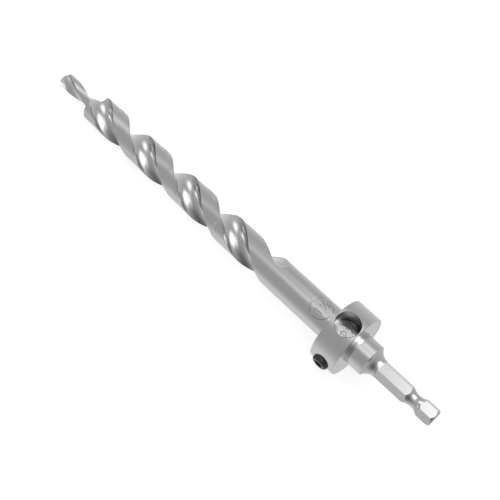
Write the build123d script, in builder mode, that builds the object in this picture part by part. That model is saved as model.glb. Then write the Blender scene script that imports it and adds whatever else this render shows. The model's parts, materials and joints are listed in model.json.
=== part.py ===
from build123d import *
from math import acos, atan, cos, degrees, pi, radians, sin, sqrt, tan
import os

# Stepped drill bit for pocket holes, with its stop collar and set screw.
# It lies on a table, z = 0, on the collar's front rim and on its nose.
# Sizes are in millimetres. Stations run along the bit, from its hex end to its point.
# Turns are in degrees about the bit, from the collar's sight window.

inch = 25.4

# Body and pilot, each with two lips at its end. Lengths end at the lips' outer corners
body_diameter = 0.5 * inch
body_length = 179.75
shoulder_angle = 152
shoulder_relief_angle = 2
pilot_diameter = 6.4
pilot_length = 19.4
point_angle = 118
point_relief_angle = 15

# Hex shank, its end bevel, its ball groove and the neck that flares up to the body
hex_across_flats = 0.25 * inch
hex_length = 24.8
bevel_length = 1.0
bevel_angle = 35
groove_station = 8.9
groove_floor_diameter = 4.95
groove_radius = 5.0
groove_depth_radius = 4.98
neck_length = 4.0
neck_flare_length = 2.6
neck_ledge = 0.015

# Two right-hand flutes, and lands that are ground back behind a raised margin
flute_count = 2
flute_pitch = 51.2
pilot_flute_pitch = 53.1
flute_radius = 4.55
flute_end_station = 76.5
flute_end_turn = 29.0
flute_end_depth = 1.5
runout_length = 8.5
core_diameter_at_runout = 4.4
core_diameter_at_shoulder = 2.6
core_diameter_at_point = 1.6
margin_turn = 20
land_relief = 0.16
land_relief_station = 104.0
land_ramp_length = 1.0

# Stop collar: ring, sight window and the hole that its set screw stands in
collar_station = 35.8
collar_width = 10.6
collar_diameter = 25.4
collar_edge = 0.25
bore_clearance = 0.08
bore_edge = 0.3
window_diameter = 9.3
window_edge = 0.2

# Set screw with a hex socket
screw_diameter = 0.25 * inch
screw_proud = 1.31
screw_edge = 0.6
screw_clearance = 0.06
screw_tip_gap = 0.06
socket_across_flats = 0.125 * inch
socket_depth = 3.4

# At rest the bit rolls until a lip's corner and a land's heel both touch the table
rest_roll = -9.7

body_radius = body_diameter / 2
pilot_radius = pilot_diameter / 2
land_radius = body_radius - land_relief
margin_root_radius = land_radius - land_relief
collar_radius = collar_diameter / 2
hex_corner_radius = hex_across_flats / sqrt(3)
neck_radius = hex_corner_radius + neck_ledge
neck_corner_station = hex_length + neck_flare_length
body_station = hex_length + neck_length
shoulder_apex_station = body_length + body_radius / tan(radians(shoulder_angle / 2))
pilot_end_station = body_length + pilot_length
point_height = pilot_radius / tan(radians(point_angle / 2))
overall_length = pilot_end_station + point_height
collar_front_station = collar_station + collar_width
collar_middle_station = collar_station + collar_width / 2
screw_length = collar_radius + screw_proud - body_radius - screw_tip_gap



def flute_half_angle(radius, core_diameter, pitch):
    """Turn at a radius from the middle of a flute to its edge, where it leaves a core."""
    middle = core_diameter / 2 + flute_radius
    helix_angle = atan(2 * pi * middle / pitch)
    square_term = (flute_radius * sin(helix_angle)) ** 2
    linear_term = middle * flute_radius
    rest_term = middle**2 + (flute_radius * cos(helix_angle)) ** 2 - radius**2
    depth = (linear_term - sqrt(linear_term**2 - square_term * rest_term)) / square_term
    half_width = flute_radius * sin(acos(depth))
    seen_across = atan(half_width * cos(helix_angle) / (middle - flute_radius * depth))
    return degrees(seen_across) + 360 / pitch * half_width * sin(helix_angle)


turn_per_mm = 360 / flute_pitch
pilot_turn_per_mm = 360 / pilot_flute_pitch
body_half_angle = flute_half_angle(body_radius, core_diameter_at_shoulder, flute_pitch)
pilot_half_angle = flute_half_angle(pilot_radius, core_diameter_at_point, pilot_flute_pitch)


def lip_turn(station):
    """Turn of a body land's leading edge at a station, and of the lip where the land ends."""
    return flute_end_turn - body_half_angle + turn_per_mm * (station - flute_end_station)


shoulder_turn = lip_turn(body_length) + body_half_angle
pilot_lip_turn = shoulder_turn + pilot_turn_per_mm * pilot_length - pilot_half_angle


# The bit leans nose down from the collar's front rim until its nose touches. Of the lip's corner and
# the land's heel, the one that leaves the smaller lean touches first
land_step = 360 / flute_count
rim_station = collar_front_station - collar_edge
corner_turn = (lip_turn(body_length) + rest_roll - 180 + land_step / 2) % land_step - land_step / 2
corner_drop = collar_radius - body_radius * cos(radians(corner_turn))
corner_lean = atan(corner_drop / (body_length - rim_station))
heel_turn = (lip_turn(body_length) + 2 * body_half_angle + rest_roll - 180) % land_step
heel_station = body_length - heel_turn / turn_per_mm
rim_drop = collar_radius - land_radius
mm_per_radian = flute_pitch / (2 * pi)
heel_offset = rim_drop / (heel_station - rim_station) * mm_per_radian / land_radius
nose_station = heel_station + heel_offset * mm_per_radian
nose_drop = rim_drop + land_radius * (1 - cos(heel_offset))
heel_lean = atan(nose_drop / (nose_station - rim_station))
lean = min(corner_lean, heel_lean)
hex_end_height = collar_radius * cos(lean) + rim_station * sin(lean)
hex_end_x = overall_length * cos(lean) / 2
towards_point = Vector(-cos(lean), 0, -sin(lean))
upwards = Vector(-sin(lean), 0, cos(lean))
towards_window = upwards.rotate(Axis((0, 0, 0), towards_point), rest_roll)

hex_end = Plane(origin=(hex_end_x, 0, hex_end_height), x_dir=towards_window, z_dir=towards_point)
lengthwise = Plane(origin=hex_end.origin, x_dir=towards_point, z_dir=-hex_end.y_dir)
bit_axis = Axis(hex_end.origin, towards_point)


def across(station):
    """Plane square to the bit at a station, its x axis towards the sight window."""
    return hex_end.offset(station)


def helical_cut(pitch, height, start_radius, end_radius):
    """Cut of a ball that climbs a right-hand helix from a start on the x axis."""
    cone = atan((end_radius - start_radius) / height)
    with BuildPart() as cut:
        with BuildLine() as path:
            Helix(pitch / cos(cone), height, start_radius, cone_angle=degrees(cone))
        with BuildSketch(Plane(path.line @ 0, z_dir=path.line % 0)):
            Circle(flute_radius)
        sweep(path=path.line)
        with Locations(path.line @ 0):
            Sphere(flute_radius)
    return cut.part


def flank_cut(lip_angle, relief_angle):
    """Stock over the flank of a lip on the x axis: outside a cone that is tilted down behind it."""
    cone_plane = Plane.XZ.rotated((relief_angle, 0, 0))
    cone_drop = body_diameter / tan(radians(lip_angle / 2))
    with BuildPart() as cut:
        with BuildSketch(cone_plane):
            with BuildLine():
                cone = Line((0, 0), (body_diameter, -cone_drop))
                Polyline(cone @ 1, (body_diameter, body_diameter), (0, body_diameter), cone @ 0)
            make_face()
        revolve(axis=Axis(cone_plane.origin, cone_plane.y_dir))
    return cut.part


# Each flute is three cuts: the run-out that dives into the body, and the runs along body and pilot
runout_station = flute_end_station + runout_length
runout_turn = flute_end_turn + turn_per_mm * runout_length
body_run = body_length - runout_station
pilot_run = overall_length - body_length + flute_radius
lifted_radius = body_radius - flute_end_depth + flute_radius
runout_radius = core_diameter_at_runout / 2 + flute_radius
shoulder_radius = core_diameter_at_shoulder / 2 + flute_radius
core_change = (core_diameter_at_point - core_diameter_at_shoulder) / 2
pilot_end_radius = shoulder_radius + core_change * pilot_run / (overall_length - body_length)
runout_cut = helical_cut(flute_pitch, runout_length, lifted_radius, runout_radius)
body_cut = helical_cut(flute_pitch, body_run, runout_radius, shoulder_radius)
pilot_cut = helical_cut(pilot_flute_pitch, pilot_run, shoulder_radius, pilot_end_radius)

# A margin is a ring sector that turns with the flutes. It reaches over into the flute ahead of it,
# where the flute's own cut then trims it to the land's leading edge
margin_run = shoulder_apex_station - land_relief_station
with BuildPart() as margin:
    with BuildLine() as margin_path:
        Line((0, 0, 0), (0, 0, margin_run))
    with BuildLine() as margin_guide:
        Helix(flute_pitch, margin_run, body_radius)
    with BuildSketch():
        with BuildLine():
            inner = CenterArc((0, 0), margin_root_radius, 0, 2 * margin_turn)
            outer = CenterArc((0, 0), body_radius, 0, 2 * margin_turn)
            Line(inner @ 0, outer @ 0)
            Line(inner @ 1, outer @ 1)
        make_face()
    sweep(path=margin_path.wires()[0], binormal=margin_guide.wires()[0])

with BuildPart() as drill_bit:
    # Turned body, from the neck to the blank of its lips, stepped down where the lands are relieved
    with BuildSketch(lengthwise):
        with BuildLine():
            l1 = Line((hex_length, 0), (hex_length, neck_radius))
            l2 = Bezier(l1 @ 1, (neck_corner_station, neck_radius), (body_station, body_radius))
            Polyline(
                l2 @ 1,
                (land_relief_station, body_radius),
                (land_relief_station + land_ramp_length, land_radius),
                (shoulder_apex_station, land_radius),
                (shoulder_apex_station, 0),
                l1 @ 0,
            )
        make_face()
    revolve(axis=bit_axis)

    # Raised margins on the leading edges
    with Locations(across(land_relief_station)):
        with PolarLocations(0, flute_count, start_angle=lip_turn(land_relief_station) - margin_turn):
            add(margin.part)

    # Flanks of the main lips
    with Locations(across(shoulder_apex_station)):
        with PolarLocations(0, flute_count, start_angle=lip_turn(body_length)):
            add(flank_cut(shoulder_angle, shoulder_relief_angle), mode=Mode.SUBTRACT)

    # Pilot, rooted one pilot length deep in the body, and the flanks of its own lips
    with BuildSketch(across(body_length - pilot_length)):
        Circle(pilot_radius)
    extrude(amount=overall_length - body_length + pilot_length)
    with Locations(across(overall_length)):
        with PolarLocations(0, flute_count, start_angle=pilot_lip_turn):
            add(flank_cut(point_angle, point_relief_angle), mode=Mode.SUBTRACT)

    # Flutes, from the pilot back to the run-out
    with Locations(across(body_length)):
        with PolarLocations(0, flute_count, start_angle=shoulder_turn):
            add(pilot_cut, mode=Mode.SUBTRACT)
    with Locations(across(runout_station)):
        with PolarLocations(0, flute_count, start_angle=runout_turn):
            add(body_cut, mode=Mode.SUBTRACT)
    with Locations(across(flute_end_station)):
        with PolarLocations(0, flute_count, start_angle=flute_end_turn):
            add(runout_cut, mode=Mode.SUBTRACT)

    # Hex shank with one flat under the sight window
    with BuildSketch(across(0)):
        RegularPolygon(hex_corner_radius, side_count=6, rotation=30)
    extrude(amount=hex_length)

    # Bevel round the hex end
    bevel_rise = bevel_length * tan(radians(bevel_angle))
    with BuildSketch(lengthwise):
        with BuildLine():
            Polyline(
                (0, hex_corner_radius - bevel_rise),
                (2 * bevel_length, hex_corner_radius + bevel_rise),
                (0, hex_corner_radius + bevel_rise),
                close=True,
            )
        make_face()
    revolve(axis=bit_axis, mode=Mode.SUBTRACT)

    # Ball groove
    with BuildSketch(lengthwise):
        with Locations((groove_station, groove_floor_diameter / 2 + groove_depth_radius)):
            Ellipse(groove_radius, groove_depth_radius)
    revolve(axis=bit_axis, mode=Mode.SUBTRACT)
drill_bit.part.label = "drill_bit"

# Stop collar
bore_radius = body_radius + bore_clearance
screw_direction = -hex_end.y_dir
collar_middle = across(collar_middle_station)
window_plane = Plane(origin=collar_middle.origin, x_dir=towards_point, z_dir=towards_window)
screw_plane = Plane(origin=collar_middle.origin, x_dir=towards_point, z_dir=screw_direction)
with BuildPart() as stop_collar:
    with BuildSketch(across(collar_station)):
        Circle(collar_radius)
        Circle(bore_radius, mode=Mode.SUBTRACT)
    extrude(amount=collar_width)
    rims = stop_collar.edges().filter_by(GeomType.CIRCLE)
    chamfer(rims.sort_by(SortBy.RADIUS)[-2:], collar_edge)
    chamfer(rims.sort_by(SortBy.RADIUS)[:2], bore_edge)
    with BuildSketch(window_plane):
        Circle(window_diameter / 2)
    extrude(amount=collar_diameter, mode=Mode.SUBTRACT)
    window_rim = stop_collar.edges().filter_by(GeomType.BSPLINE).sort_by(Axis.Z)[-1]
    chamfer(window_rim, window_edge)
    with BuildSketch(screw_plane):
        Circle(screw_diameter / 2 + screw_clearance)
    extrude(amount=collar_diameter, mode=Mode.SUBTRACT)
stop_collar.part.label = "stop_collar"

# Set screw
screw_tip = screw_plane.offset(body_radius + screw_tip_gap)
with BuildPart() as set_screw:
    with BuildSketch(screw_tip):
        Circle(screw_diameter / 2)
    extrude(amount=screw_length)
    chamfer(set_screw.edges().filter_by(GeomType.CIRCLE), screw_edge)
    with BuildSketch(screw_tip.offset(screw_length)):
        RegularPolygon(socket_across_flats / sqrt(3), side_count=6)
    extrude(amount=-socket_depth, mode=Mode.SUBTRACT)
set_screw.part.label = "set_screw"

os.makedirs("parts", exist_ok=True)
for piece in (drill_bit, stop_collar, set_screw):
    export_step(piece.part, f"parts/{piece.part.label}.step")
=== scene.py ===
import json
import logging
from dataclasses import dataclass
from enum import Enum
from math import cos, pi, radians, sin

import bmesh
import bpy
from mathutils import Matrix, Vector


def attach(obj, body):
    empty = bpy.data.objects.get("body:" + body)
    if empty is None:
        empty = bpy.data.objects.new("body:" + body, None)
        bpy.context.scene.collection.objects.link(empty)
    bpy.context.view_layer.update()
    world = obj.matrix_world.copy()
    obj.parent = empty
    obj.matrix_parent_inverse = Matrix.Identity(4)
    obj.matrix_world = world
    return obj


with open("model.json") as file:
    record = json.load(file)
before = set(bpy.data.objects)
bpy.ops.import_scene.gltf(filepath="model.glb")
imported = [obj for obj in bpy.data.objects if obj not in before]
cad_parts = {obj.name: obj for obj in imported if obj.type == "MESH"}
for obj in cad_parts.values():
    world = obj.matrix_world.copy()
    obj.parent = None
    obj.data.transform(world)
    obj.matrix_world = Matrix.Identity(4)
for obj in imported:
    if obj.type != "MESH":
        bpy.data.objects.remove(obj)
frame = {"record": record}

MM = 0.001
INCH = 25.4 * MM

log = logging.getLogger("step_drill_bit")


class Node(Enum):
    """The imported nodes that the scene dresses."""

    DRILL_BIT = "drill_bit"
    STOP_COLLAR = "stop_collar"
    SET_SCREW = "set_screw"


class Whole(Enum):
    """The whole number that a mark starts with."""

    ONE = "1"
    TWO = "2"


@dataclass(frozen=True)
class BitSizes:
    """Sizes of the solids that the scene needs, in metres. Stations run from the bit's hex end."""

    body_radius: float = INCH / 4
    hex_length: float = 24.8 * MM
    screw_radius: float = INCH / 8
    collar_middle_station: float = 41.1 * MM
    window_radius: float = 4.65 * MM
    window_edge: float = 0.2 * MM


@dataclass(frozen=True)
class BitFrame:
    """The bit's own frame: stations run from its hex end to its point, turns from the sight window."""

    hex_end: Vector
    to_point: Vector
    to_window: Vector

    @classmethod
    def from_record(cls) -> "BitFrame":
        """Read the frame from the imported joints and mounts.

        Returns:
            The bit's frame at rest.
        """
        joints = {joint["name"]: joint for joint in frame["record"]["behaviour"]["joints"]}
        mounts = {mount["name"]: mount for mount in frame["record"]["mounts"]}
        to_point = Vector(joints["collar_slide"]["axis"]).normalized()
        to_screw = Vector(joints["screw_travel"]["axis"]).normalized()
        shank_middle = Vector(mounts["hex_shank"]["pos_m"])
        return cls(
            hex_end=shank_middle - to_point * BitSizes.hex_length / 2,
            to_point=to_point,
            to_window=to_point.cross(to_screw).normalized(),
        )

    @property
    def to_side(self) -> Vector:
        """Direction square to the bit and to the sight window, away from the set screw."""
        return self.to_point.cross(self.to_window)

    @property
    def matrix(self) -> Matrix:
        """Transform from x to the window, y to the side, z along the bit, to the part's frame."""
        turn = Matrix((self.to_window, self.to_side, self.to_point)).transposed()
        return Matrix.Translation(self.hex_end) @ turn.to_4x4()

    def direction(self, along: float, up: float, side: float) -> Vector:
        """Turn a direction given along the bit, to the window and to the side.

        Args:
            along: Share towards the point.
            up: Share towards the sight window.
            side: Share away from the set screw.

        Returns:
            The unit direction in the part's frame.
        """
        return (self.to_point * along + self.to_window * up + self.to_side * side).normalized()


class Nodes:
    """Small helper that adds shader nodes to a tree and links them."""

    def __init__(self, tree: bpy.types.NodeTree) -> None:
        """Keep the tree."""
        self.tree = tree

    def add(self, kind: str, **values: object) -> bpy.types.Node:
        """Add a node and set its properties and inputs.

        Args:
            kind: Blender's name of the node type.
            **values: Node properties, or inputs by their socket name with underscores for spaces.

        Returns:
            The new node.
        """
        node = self.tree.nodes.new(kind)
        for name, value in values.items():
            if hasattr(node, name):
                setattr(node, name, value)
            else:
                node.inputs[name.replace("_", " ")].default_value = value
        return node

    def link(self, source: bpy.types.NodeSocket, target: bpy.types.NodeSocket) -> None:
        """Link one socket to another."""
        self.tree.links.new(source, target)

    def math(self, operation: str, *operands: object) -> bpy.types.NodeSocket:
        """Add a maths node.

        Args:
            operation: Blender's name of the operation.
            *operands: Sockets or numbers, in order.

        Returns:
            The result's socket.
        """
        node = self.add("ShaderNodeMath", operation=operation)
        for socket, operand in zip(node.inputs, operands):
            if isinstance(operand, bpy.types.NodeSocket):
                self.link(operand, socket)
            else:
                socket.default_value = operand
        return node.outputs[0]

    def dot(self, vector: bpy.types.NodeSocket, direction: Vector) -> bpy.types.NodeSocket:
        """Add the dot product of a vector with a fixed direction.

        Args:
            vector: Socket of the vector.
            direction: The fixed direction.

        Returns:
            The product's socket.
        """
        node = self.add("ShaderNodeVectorMath", operation="DOT_PRODUCT")
        self.link(vector, node.inputs[0])
        node.inputs[1].default_value = direction
        return node.outputs["Value"]

    def offset(self, place: bpy.types.NodeSocket, middle: Vector) -> bpy.types.NodeSocket:
        """Add the offset of a place from a fixed middle.

        Args:
            place: Socket of the place.
            middle: The fixed middle.

        Returns:
            The offset's socket.
        """
        node = self.add("ShaderNodeVectorMath", operation="SUBTRACT")
        self.link(place, node.inputs[0])
        node.inputs[1].default_value = middle
        return node.outputs[0]

    def length(self, first: bpy.types.NodeSocket, second: bpy.types.NodeSocket) -> bpy.types.NodeSocket:
        """Add the length of a flat vector.

        Args:
            first: Socket of one side.
            second: Socket of the side square to it.

        Returns:
            The length's socket.
        """
        squares = self.math("MULTIPLY_ADD", first, first, self.math("MULTIPLY", second, second))
        return self.math("SQRT", squares)

    def spread(self, pattern: bpy.types.NodeSocket, middle: float, share: float) -> bpy.types.NodeSocket:
        """Let a pattern from 0 to 1 vary a value about its middle.

        Args:
            pattern: Socket of the pattern.
            middle: The value's middle.
            share: How far the value departs from its middle, as a share of it.

        Returns:
            The value's socket.
        """
        node = self.add("ShaderNodeMapRange")
        node.inputs["To Min"].default_value = middle * (1 - share)
        node.inputs["To Max"].default_value = middle * (1 + share)
        self.link(pattern, node.inputs["Value"])
        return node.outputs["Result"]


@dataclass(frozen=True)
class Steel:
    """Bare steel with fine marks from its grinding or turning, which run round the bit."""

    name: str
    shade: float
    roughness: float
    mark_width: float
    mark_depth: float
    mark_stretch: float = 20.0
    shade_spread: float = 0.03
    roughness_spread: float = 0.2

    def material(self, bit: BitFrame) -> bpy.types.Material:
        """Make the material.

        Args:
            bit: The bit's own frame, which the marks follow.

        Returns:
            The new material.
        """
        made = bpy.data.materials.new(self.name)
        made.use_nodes = True
        nodes = Nodes(made.node_tree)
        shader = made.node_tree.nodes["Principled BSDF"]
        shader.inputs["Metallic"].default_value = 1
        place = nodes.add("ShaderNodeTexCoord").outputs["Object"]
        turned = nodes.add("ShaderNodeMapping")
        into_bit = bit.matrix.inverted()
        turned.inputs["Rotation"].default_value = into_bit.to_euler()
        turned.inputs["Location"].default_value = into_bit.to_translation()
        nodes.link(place, turned.inputs["Vector"])
        stretched = nodes.add("ShaderNodeVectorMath", operation="MULTIPLY")
        lines = 1 / self.mark_width
        stretched.inputs[1].default_value = (lines / self.mark_stretch, lines / self.mark_stretch, lines)
        nodes.link(turned.outputs[0], stretched.inputs[0])
        marks = nodes.add("ShaderNodeTexNoise", Scale=1.0, Detail=3.0, Roughness=0.6)
        nodes.link(stretched.outputs[0], marks.inputs["Vector"])
        tone = nodes.spread(marks.outputs["Fac"], self.shade, self.shade_spread)
        nodes.link(tone, shader.inputs["Base Color"])
        polish = nodes.spread(marks.outputs["Fac"], self.roughness, self.roughness_spread)
        nodes.link(polish, shader.inputs["Roughness"])
        relief = nodes.add("ShaderNodeBump", Strength=1.0, Distance=self.mark_depth)
        nodes.link(marks.outputs["Fac"], relief.inputs["Height"])
        nodes.link(relief.outputs["Normal"], shader.inputs["Normal"])
        return made


@dataclass(frozen=True)
class BlackSteel:
    """Black oxide on a set screw, with its thread as relief."""

    name: str = "black_steel"
    shade: float = 0.028
    roughness: float = 0.28
    thread_pitch: float = INCH / 20
    thread_depth: float = 0.35 * MM
    thread_root_share: float = 0.93
    grain_scale: float = 6000.0
    grain_spread: float = 0.4

    def material(self, bit: BitFrame) -> bpy.types.Material:
        """Make the material.

        Args:
            bit: The bit's own frame, to which the screw stands square.

        Returns:
            The new material.
        """
        made = bpy.data.materials.new(self.name)
        made.use_nodes = True
        nodes = Nodes(made.node_tree)
        shader = made.node_tree.nodes["Principled BSDF"]
        place = nodes.add("ShaderNodeTexCoord").outputs["Object"]
        mounts = {mount["name"]: mount for mount in frame["record"]["mounts"]}
        offset = nodes.offset(place, Vector(mounts["key_socket"]["pos_m"]))
        along = nodes.dot(offset, bit.to_side)
        across = nodes.dot(offset, bit.to_point)
        upright = nodes.dot(offset, bit.to_window)
        turn = nodes.math("DIVIDE", nodes.math("ARCTAN2", upright, across), 2 * pi)
        turns = nodes.math("ADD", nodes.math("DIVIDE", along, self.thread_pitch), turn)
        ridge = nodes.math("PINGPONG", turns, 0.5)
        radius = nodes.length(across, upright)
        on_thread = nodes.math("GREATER_THAN", radius, self.thread_root_share * BitSizes.screw_radius)
        height = nodes.math("MULTIPLY", ridge, on_thread)
        relief = nodes.add("ShaderNodeBump", Strength=0.8, Distance=self.thread_depth)
        nodes.link(height, relief.inputs["Height"])
        nodes.link(relief.outputs["Normal"], shader.inputs["Normal"])
        grain = nodes.add("ShaderNodeTexNoise", Scale=self.grain_scale, Detail=2.0)
        nodes.link(place, grain.inputs["Vector"])
        tone = nodes.spread(grain.outputs["Fac"], self.shade, self.grain_spread)
        nodes.link(tone, shader.inputs["Base Color"])
        shader.inputs["Roughness"].default_value = self.roughness
        return made


Stroke = list[tuple[float, float]]


@dataclass(frozen=True)
class Engraving:
    """A plain number with a half on the body, read with the point upwards.

    Places across the number are from its middle, and its baseline is a station on the bit.
    """

    name: str
    whole: Whole
    baseline: float
    ring_radius: float = 0.0
    height: float = 3.4 * MM
    small_height: float = 1.5 * MM
    line_width: float = 0.38 * MM
    lip: float = 0.03 * MM
    whole_place: float = -1.68 * MM
    upper_place: float = 0.47 * MM
    slash_foot: float = 0.45 * MM
    slash_head: float = 2.15 * MM
    lower_place: float = 2.6 * MM
    longest_step: float = 0.12 * MM
    merge_distance: float = 0.0001 * MM

    def one(self, x: float, foot: float, height: float) -> list[Stroke]:
        """Strokes of a 1.

        Args:
            x: Place of its stem across the number.
            foot: Its foot above the baseline.
            height: Its height.

        Returns:
            The stem with its flag.
        """
        flag_reach = 0.24 * height
        flag_foot = foot + 0.78 * height
        return [[(x - flag_reach, flag_foot), (x, foot + height), (x, foot)]]

    def two(self, x: float, foot: float, height: float) -> list[Stroke]:
        """Strokes of a 2.

        Args:
            x: Place of its middle across the number.
            foot: Its foot above the baseline.
            height: Its height.

        Returns:
            The bow, the slant and the foot in one stroke.
        """
        bow = 0.27 * height
        turns = [radians(degree) for degree in range(165, -31, -15)]
        stroke = [(x + bow * cos(turn), foot + height - bow + bow * sin(turn)) for turn in turns]
        return [stroke + [(x - bow, foot), (x + bow, foot)]]

    def strokes(self) -> list[Stroke]:
        """Lay out the whole number, the half after it and the ring round both.

        Returns:
            The strokes, across the number and above its baseline.
        """
        rise = self.height - self.small_height
        digit = self.one if self.whole is Whole.ONE else self.two
        laid = digit(self.whole_place, 0.0, self.height)
        laid += self.one(self.upper_place, rise, self.small_height)
        laid.append([(self.slash_head, self.height), (self.slash_foot, 0.0)])
        laid += self.two(self.lower_place, 0.0, self.small_height)
        if self.ring_radius:
            turns = [radians(degree) for degree in range(0, 361, 6)]
            ring = [(self.ring_radius * cos(turn), self.ring_radius * sin(turn)) for turn in turns]
            laid.append([(x, self.height / 2 + y) for x, y in ring])
        return laid

    def build(self, bit: BitFrame, finish: bpy.types.Material) -> bpy.types.Object:
        """Make the number: each stroke is a groove between two raised lips.

        A stroke starts as a grid, which is rolled into a tube of that section, bent along the stroke and
        wrapped round the body.

        Args:
            bit: The bit's own frame.
            finish: The strokes' steel.

        Returns:
            The new piece.
        """
        half = self.line_width / 2
        crest = 0.8 * half
        floor = 0.1 * self.lip
        section = ((-half, 0.0), (-crest, self.lip), (0.0, floor), (crest, self.lip), (half, 0.0))
        mesh = bmesh.new()
        for stroke in self.strokes():
            points = self.resample(stroke)
            closed = (points[-1] - points[0]).length < self.merge_distance
            behind = [points[-2] if closed else points[0]] + points[:-1]
            ahead = points[1:] + [points[1] if closed else points[-1]]
            steps, sides = len(points) - 1, len(section)
            strip = bmesh.ops.create_grid(mesh, x_segments=steps, y_segments=sides, size=1)
            for vert in strip["verts"]:
                step = round((vert.co.x + 1) / 2 * steps)
                corner = round((vert.co.y + 1) / 2 * sides)
                x, z = section[corner % sides]
                run = ahead[step] - behind[step]
                across = Vector((-run.y, run.x)).normalized()
                vert.co = self.wrap(bit, points[step] + across * x, z)
        bmesh.ops.remove_doubles(mesh, verts=mesh.verts, dist=self.merge_distance)
        ends = [edge for edge in mesh.edges if edge.is_boundary]
        bmesh.ops.holes_fill(mesh, edges=ends, sides=len(section))
        bmesh.ops.recalc_face_normals(mesh, faces=mesh.faces)
        data = bpy.data.meshes.new(self.name)
        mesh.to_mesh(data)
        mesh.free()
        piece = bpy.data.objects.new(self.name, data)
        bpy.context.scene.collection.objects.link(piece)
        data.materials.append(finish)
        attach(piece, "bit")
        return piece

    def resample(self, stroke: Stroke) -> list[Vector]:
        """Divide a stroke into short steps, so that it wraps round the body.

        Args:
            stroke: The stroke's corners.

        Returns:
            Points along the stroke.
        """
        corners = [Vector(corner) for corner in stroke]
        points = [corners[0]]
        for start, end in zip(corners, corners[1:]):
            count = max(1, round((end - start).length / self.longest_step))
            points += [start.lerp(end, (index + 1) / count) for index in range(count)]
        return points

    def wrap(self, bit: BitFrame, point: Vector, height: float) -> Vector:
        """Wrap a point of the flat number round the body.

        Args:
            bit: The bit's own frame.
            point: Place across the number and above its baseline.
            height: Height over the body's surface.

        Returns:
            The place in the part's frame.
        """
        turn = point.x / BitSizes.body_radius
        radius = BitSizes.body_radius + height
        return bit.matrix @ Vector((radius * cos(turn), radius * sin(turn), self.baseline + point.y))


def dress(node: Node, finish: bpy.types.Material) -> bpy.types.Object:
    """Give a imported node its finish.

    Args:
        node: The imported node.
        finish: The material for all its slots.

    Returns:
        The node's object.
    """
    piece = bpy.data.objects[node.value]
    if not piece.data.materials:
        piece.data.materials.append(finish)
    for slot in piece.material_slots:
        slot.material = finish
    return piece


@dataclass(frozen=True)
class DrillBit:
    """The ground bit with its numbers."""

    bit: BitFrame
    steel: Steel = Steel("ground_steel", 0.60, 0.10, 0.25 * MM, 0.0006 * MM)
    cut_steel: Steel = Steel("cut_steel", 0.34, 0.22, 0.15 * MM, 0.0008 * MM)
    engravings: tuple[Engraving, ...] = (
        Engraving("mark_one_and_a_half", Whole.ONE, 51.6 * MM, ring_radius=4.3 * MM),
        Engraving("mark_two_and_a_half", Whole.TWO, 38.9 * MM),
    )

    def build(self) -> list[bpy.types.Object]:
        """Dress the bit and make its numbers.

        Returns:
            The bit and its numbers.
        """
        body = dress(Node.DRILL_BIT, self.steel.material(self.bit))
        cut_finish = self.cut_steel.material(self.bit)
        return [body] + [engraving.build(self.bit, cut_finish) for engraving in self.engravings]


@dataclass(frozen=True)
class StopCollar:
    """The turned stop collar."""

    bit: BitFrame
    steel: Steel = Steel("collar_steel", 0.60, 0.12, 0.15 * MM, 0.0008 * MM)
    # Painted shade: the window wall's colour is darkened to stand in for the shade inside the recess.
    window_painted_shade: float = 0.44
    window_roughness: float = 0.3
    window_margin: float = 0.02 * MM

    def build(self) -> list[bpy.types.Object]:
        """Dress the collar.

        Returns:
            The collar alone.
        """
        finish = self.steel.material(self.bit)
        self.roughen_window_and_paint_its_shade(finish)
        return [dress(Node.STOP_COLLAR, finish)]

    def roughen_window_and_paint_its_shade(self, finish: bpy.types.Material) -> None:
        """Make the window's milled wall rougher than the turned outside, and darken its colour with
        painted shade for the recess.

        Args:
            finish: The collar's material.
        """
        nodes = Nodes(finish.node_tree)
        shader = finish.node_tree.nodes["Principled BSDF"]
        place = nodes.add("ShaderNodeTexCoord").outputs["Object"]
        collar_middle = self.bit.hex_end + self.bit.to_point * BitSizes.collar_middle_station
        offset = nodes.offset(place, collar_middle)
        along = nodes.dot(offset, self.bit.to_point)
        sideways = nodes.dot(offset, self.bit.to_side)
        radius = nodes.length(along, sideways)
        edge_radius = BitSizes.window_radius + BitSizes.window_edge
        milled_wall_with_painted_shade = nodes.math("LESS_THAN", radius, edge_radius + self.window_margin)
        # The darker colour here is painted shade for the recess; the higher roughness is the milled wall's
        # own finish.
        for name, value in (("Base Color", self.window_painted_shade), ("Roughness", self.window_roughness)):
            target = shader.inputs[name]
            outside = target.links[0].from_socket
            change = nodes.math("SUBTRACT", value, outside)
            nodes.link(nodes.math("MULTIPLY_ADD", change, milled_wall_with_painted_shade, outside), target)


@dataclass(frozen=True)
class SetScrew:
    """The black set screw."""

    bit: BitFrame
    steel: BlackSteel = BlackSteel()

    def build(self) -> list[bpy.types.Object]:
        """Dress the screw."""
        return [dress(Node.SET_SCREW, self.steel.material(self.bit))]


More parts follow.
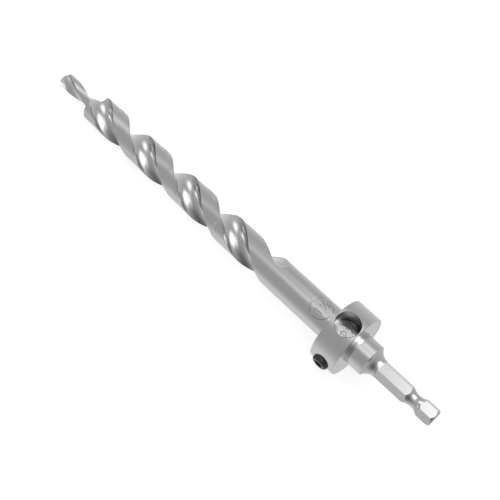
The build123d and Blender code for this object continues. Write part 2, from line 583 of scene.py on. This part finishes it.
@dataclass(frozen=True)
class Glow:
    """A soft patch of light, or of shade where its level is negative, that the steel mirrors.

    Its middle is given along the bit, up to the window and to the side. From there it falls off as a bell
    curve over a flat map of the directions, with a tightness for each of its two axes, whose slant in
    degrees is its turn.
    """

    name: str
    along: float
    up: float
    side: float
    level: float
    tightness: tuple[float, float]
    turn: float = 0.0
    nearly_behind: float = 0.02

    def strength(self, nodes: Nodes, view: bpy.types.NodeSocket, bit: BitFrame) -> bpy.types.NodeSocket:
        """Work out the patch's light in the direction that is looked at.

        Args:
            nodes: The world's nodes.
            view: Socket of the direction.
            bit: The bit's own frame, in which the patch's direction is given.

        Returns:
            The light's socket.
        """
        middle = Vector((self.along, self.up, self.side)).normalized()
        flat = middle.cross(Vector((1, 0, 0))).normalized()
        steep = middle.cross(flat)
        turn = radians(self.turn)
        wide = flat * cos(turn) + steep * sin(turn)
        high = steep * cos(turn) - flat * sin(turn)
        facing = nodes.math("ADD", nodes.dot(view, bit.direction(*middle)), 1.0)
        spread = nodes.math("DIVIDE", 2.0, nodes.math("MAXIMUM", facing, self.nearly_behind))
        fall = 0.0
        for axis, tightness in zip((wide, high), self.tightness):
            offset = nodes.math("MULTIPLY", nodes.dot(view, bit.direction(*axis)), spread)
            fall = nodes.math("MULTIPLY_ADD", nodes.math("MULTIPLY", offset, offset), -tightness, fall)
        return nodes.math("MULTIPLY", nodes.math("EXPONENT", fall), self.level)


@dataclass(frozen=True)
class Studio:
    """Floor, room, lamp and camera."""

    bit: BitFrame
    steel_shade: float = 0.60
    room_level: float = 0.307
    darkest_level: float = 0.02
    glows: tuple[Glow, ...] = (
        Glow("key_lamp", -0.17, 0.88, 0.44, 2.04, (7.8, 14.3), 16),
        Glow("front_lamp", 0.74, 0.59, 0.32, 0.99, (8.6, 20.5), 21),
        Glow("side_lamp", 0.79, 0.35, -0.50, 0.26, (15.0, 32.0), 167),
        Glow("top_lamp", 0.02, 0.99, -0.11, 0.51, (9.0, 21.0), 45),
        Glow("dark_side", -0.67, 0.40, -0.63, -0.21, (2.0, 2.0)),
        Glow("pale_floor", 0.09, -0.97, 0.22, 0.20, (0.36, 0.36)),
        Glow("dark_corner", 0.81, -0.50, -0.31, -0.32, (7.4, 7.4)),
        Glow("floor_bounce", 0.30, -0.50, -0.81, 0.12, (4.6, 4.6)),
        Glow("dark_rear", -0.50, -0.82, 0.28, -0.10, (2.5, 2.5)),
    )
    middle_station: float = 100 * MM
    lamp_size: float = 1.6
    lamp_height: float = 1.2
    lamp_level: float = 0.5
    floor_size: float = 6.0
    floor_shade: float = 0.8
    floor_glow: float = 0.62
    room_light: float = 0.5
    view_forward: tuple[float, float, float] = (0.338978, -0.897231, 0.282968)
    view_upward: tuple[float, float, float] = (0.637528, 0.440258, 0.632242)
    camera_station: float = -25.137 * MM
    camera_rise: float = 303.629 * MM
    camera_offset: float = -96.031 * MM
    camera_lens: float = 65.97
    camera_sensor: float = 36.0
    camera_near: float = 10 * MM

    def build(self) -> None:
        """Set up the floor, the light and the camera."""
        self.floor()
        self.room()
        self.lamp()
        self.camera()
        bpy.context.scene.view_settings.view_transform = "Standard"

    def floor(self) -> None:
        """Lay a pale floor with the object's shadow, which the steel sees through to the room."""
        bpy.ops.mesh.primitive_plane_add(size=self.floor_size)
        floor = bpy.context.object
        floor.name = "floor"
        made = bpy.data.materials.new("pale_floor")
        made.use_nodes = True
        tree = made.node_tree
        tree.nodes.clear()
        nodes = Nodes(tree)
        output = nodes.add("ShaderNodeOutputMaterial")
        paint = nodes.add("ShaderNodeBsdfDiffuse", Color=(*[self.floor_shade] * 3, 1))
        glow = nodes.add("ShaderNodeEmission", Color=(1, 1, 1, 1), Strength=self.floor_glow)
        lit = nodes.add("ShaderNodeAddShader")
        clear = nodes.add("ShaderNodeBsdfTransparent")
        seen = nodes.add("ShaderNodeMixShader")
        path = nodes.add("ShaderNodeLightPath")
        nodes.link(paint.outputs[0], lit.inputs[0])
        nodes.link(glow.outputs[0], lit.inputs[1])
        nodes.link(path.outputs["Is Glossy Ray"], seen.inputs["Fac"])
        nodes.link(lit.outputs[0], seen.inputs[1])
        nodes.link(clear.outputs[0], seen.inputs[2])
        nodes.link(seen.outputs[0], output.inputs["Surface"])
        floor.data.materials.append(made)

    def room(self) -> None:
        """Surround the scene with a white room, and with soft lamps and shades that the steel mirrors."""
        world = bpy.data.worlds.new("white_room")
        bpy.context.scene.world = world
        world.use_nodes = True
        nodes = Nodes(world.node_tree)
        background = world.node_tree.nodes["Background"]
        background.inputs["Color"].default_value = (1, 1, 1, 1)
        view = nodes.add("ShaderNodeTexCoord").outputs["Generated"]
        total = self.room_level
        for glow in self.glows:
            total = nodes.math("ADD", glow.strength(nodes, view, self.bit), total)
        mirrored = nodes.math("DIVIDE", nodes.math("MAXIMUM", total, self.darkest_level), self.steel_shade)
        path = nodes.add("ShaderNodeLightPath")
        lit = nodes.add("ShaderNodeMix")
        lit.inputs[2].default_value = self.room_light
        nodes.link(path.outputs["Is Glossy Ray"], lit.inputs[0])
        nodes.link(mirrored, lit.inputs[3])
        seen = nodes.add("ShaderNodeMix")
        seen.inputs[3].default_value = 1.0
        nodes.link(path.outputs["Is Camera Ray"], seen.inputs[0])
        nodes.link(lit.outputs[0], seen.inputs[2])
        nodes.link(seen.outputs[0], background.inputs["Strength"])

    def lamp(self) -> None:
        """Hang one wide lamp that lights the floor and the black screw softly."""
        data = bpy.data.lights.new("wide_lamp", "AREA")
        data.size = self.lamp_size
        data.energy = self.lamp_level * pi * self.lamp_size**2
        lamp = bpy.data.objects.new("wide_lamp", data)
        middle = self.bit.hex_end + self.bit.to_point * self.middle_station
        lamp.matrix_world = Matrix.Translation((middle.x, middle.y, self.lamp_height))
        lamp.visible_glossy = False
        bpy.context.scene.collection.objects.link(lamp)

    def camera(self) -> None:
        """Stand the camera at the photograph's viewing angle."""
        bit = self.bit
        forward = bit.direction(*self.view_forward)
        upward = bit.direction(*self.view_upward)
        right = forward.cross(upward).normalized()
        upward = right.cross(forward)
        turn = Matrix((right, upward, -forward)).transposed().to_4x4()
        place = bit.hex_end + bit.to_point * self.camera_station
        place += bit.to_window * self.camera_rise + bit.to_side * self.camera_offset
        data = bpy.data.cameras.new("camera")
        data.lens = self.camera_lens
        data.sensor_width = self.camera_sensor
        data.clip_start = self.camera_near
        camera = bpy.data.objects.new("camera", data)
        camera.matrix_world = Matrix.Translation(place) @ turn
        bpy.context.scene.collection.objects.link(camera)
        bpy.context.scene.camera = camera


def main() -> None:
    """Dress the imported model, add its marks and set up the studio."""
    logging.basicConfig(level=logging.INFO, format="%(name)s: %(message)s")
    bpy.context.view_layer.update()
    bit = BitFrame.from_record()
    for assembly in (DrillBit(bit), StopCollar(bit), SetScrew(bit)):
        for piece in assembly.build():
            log.info("%s: %d faces", piece.name, len(piece.data.polygons))
    Studio(bit).build()


if __name__ == "__main__":
    main()
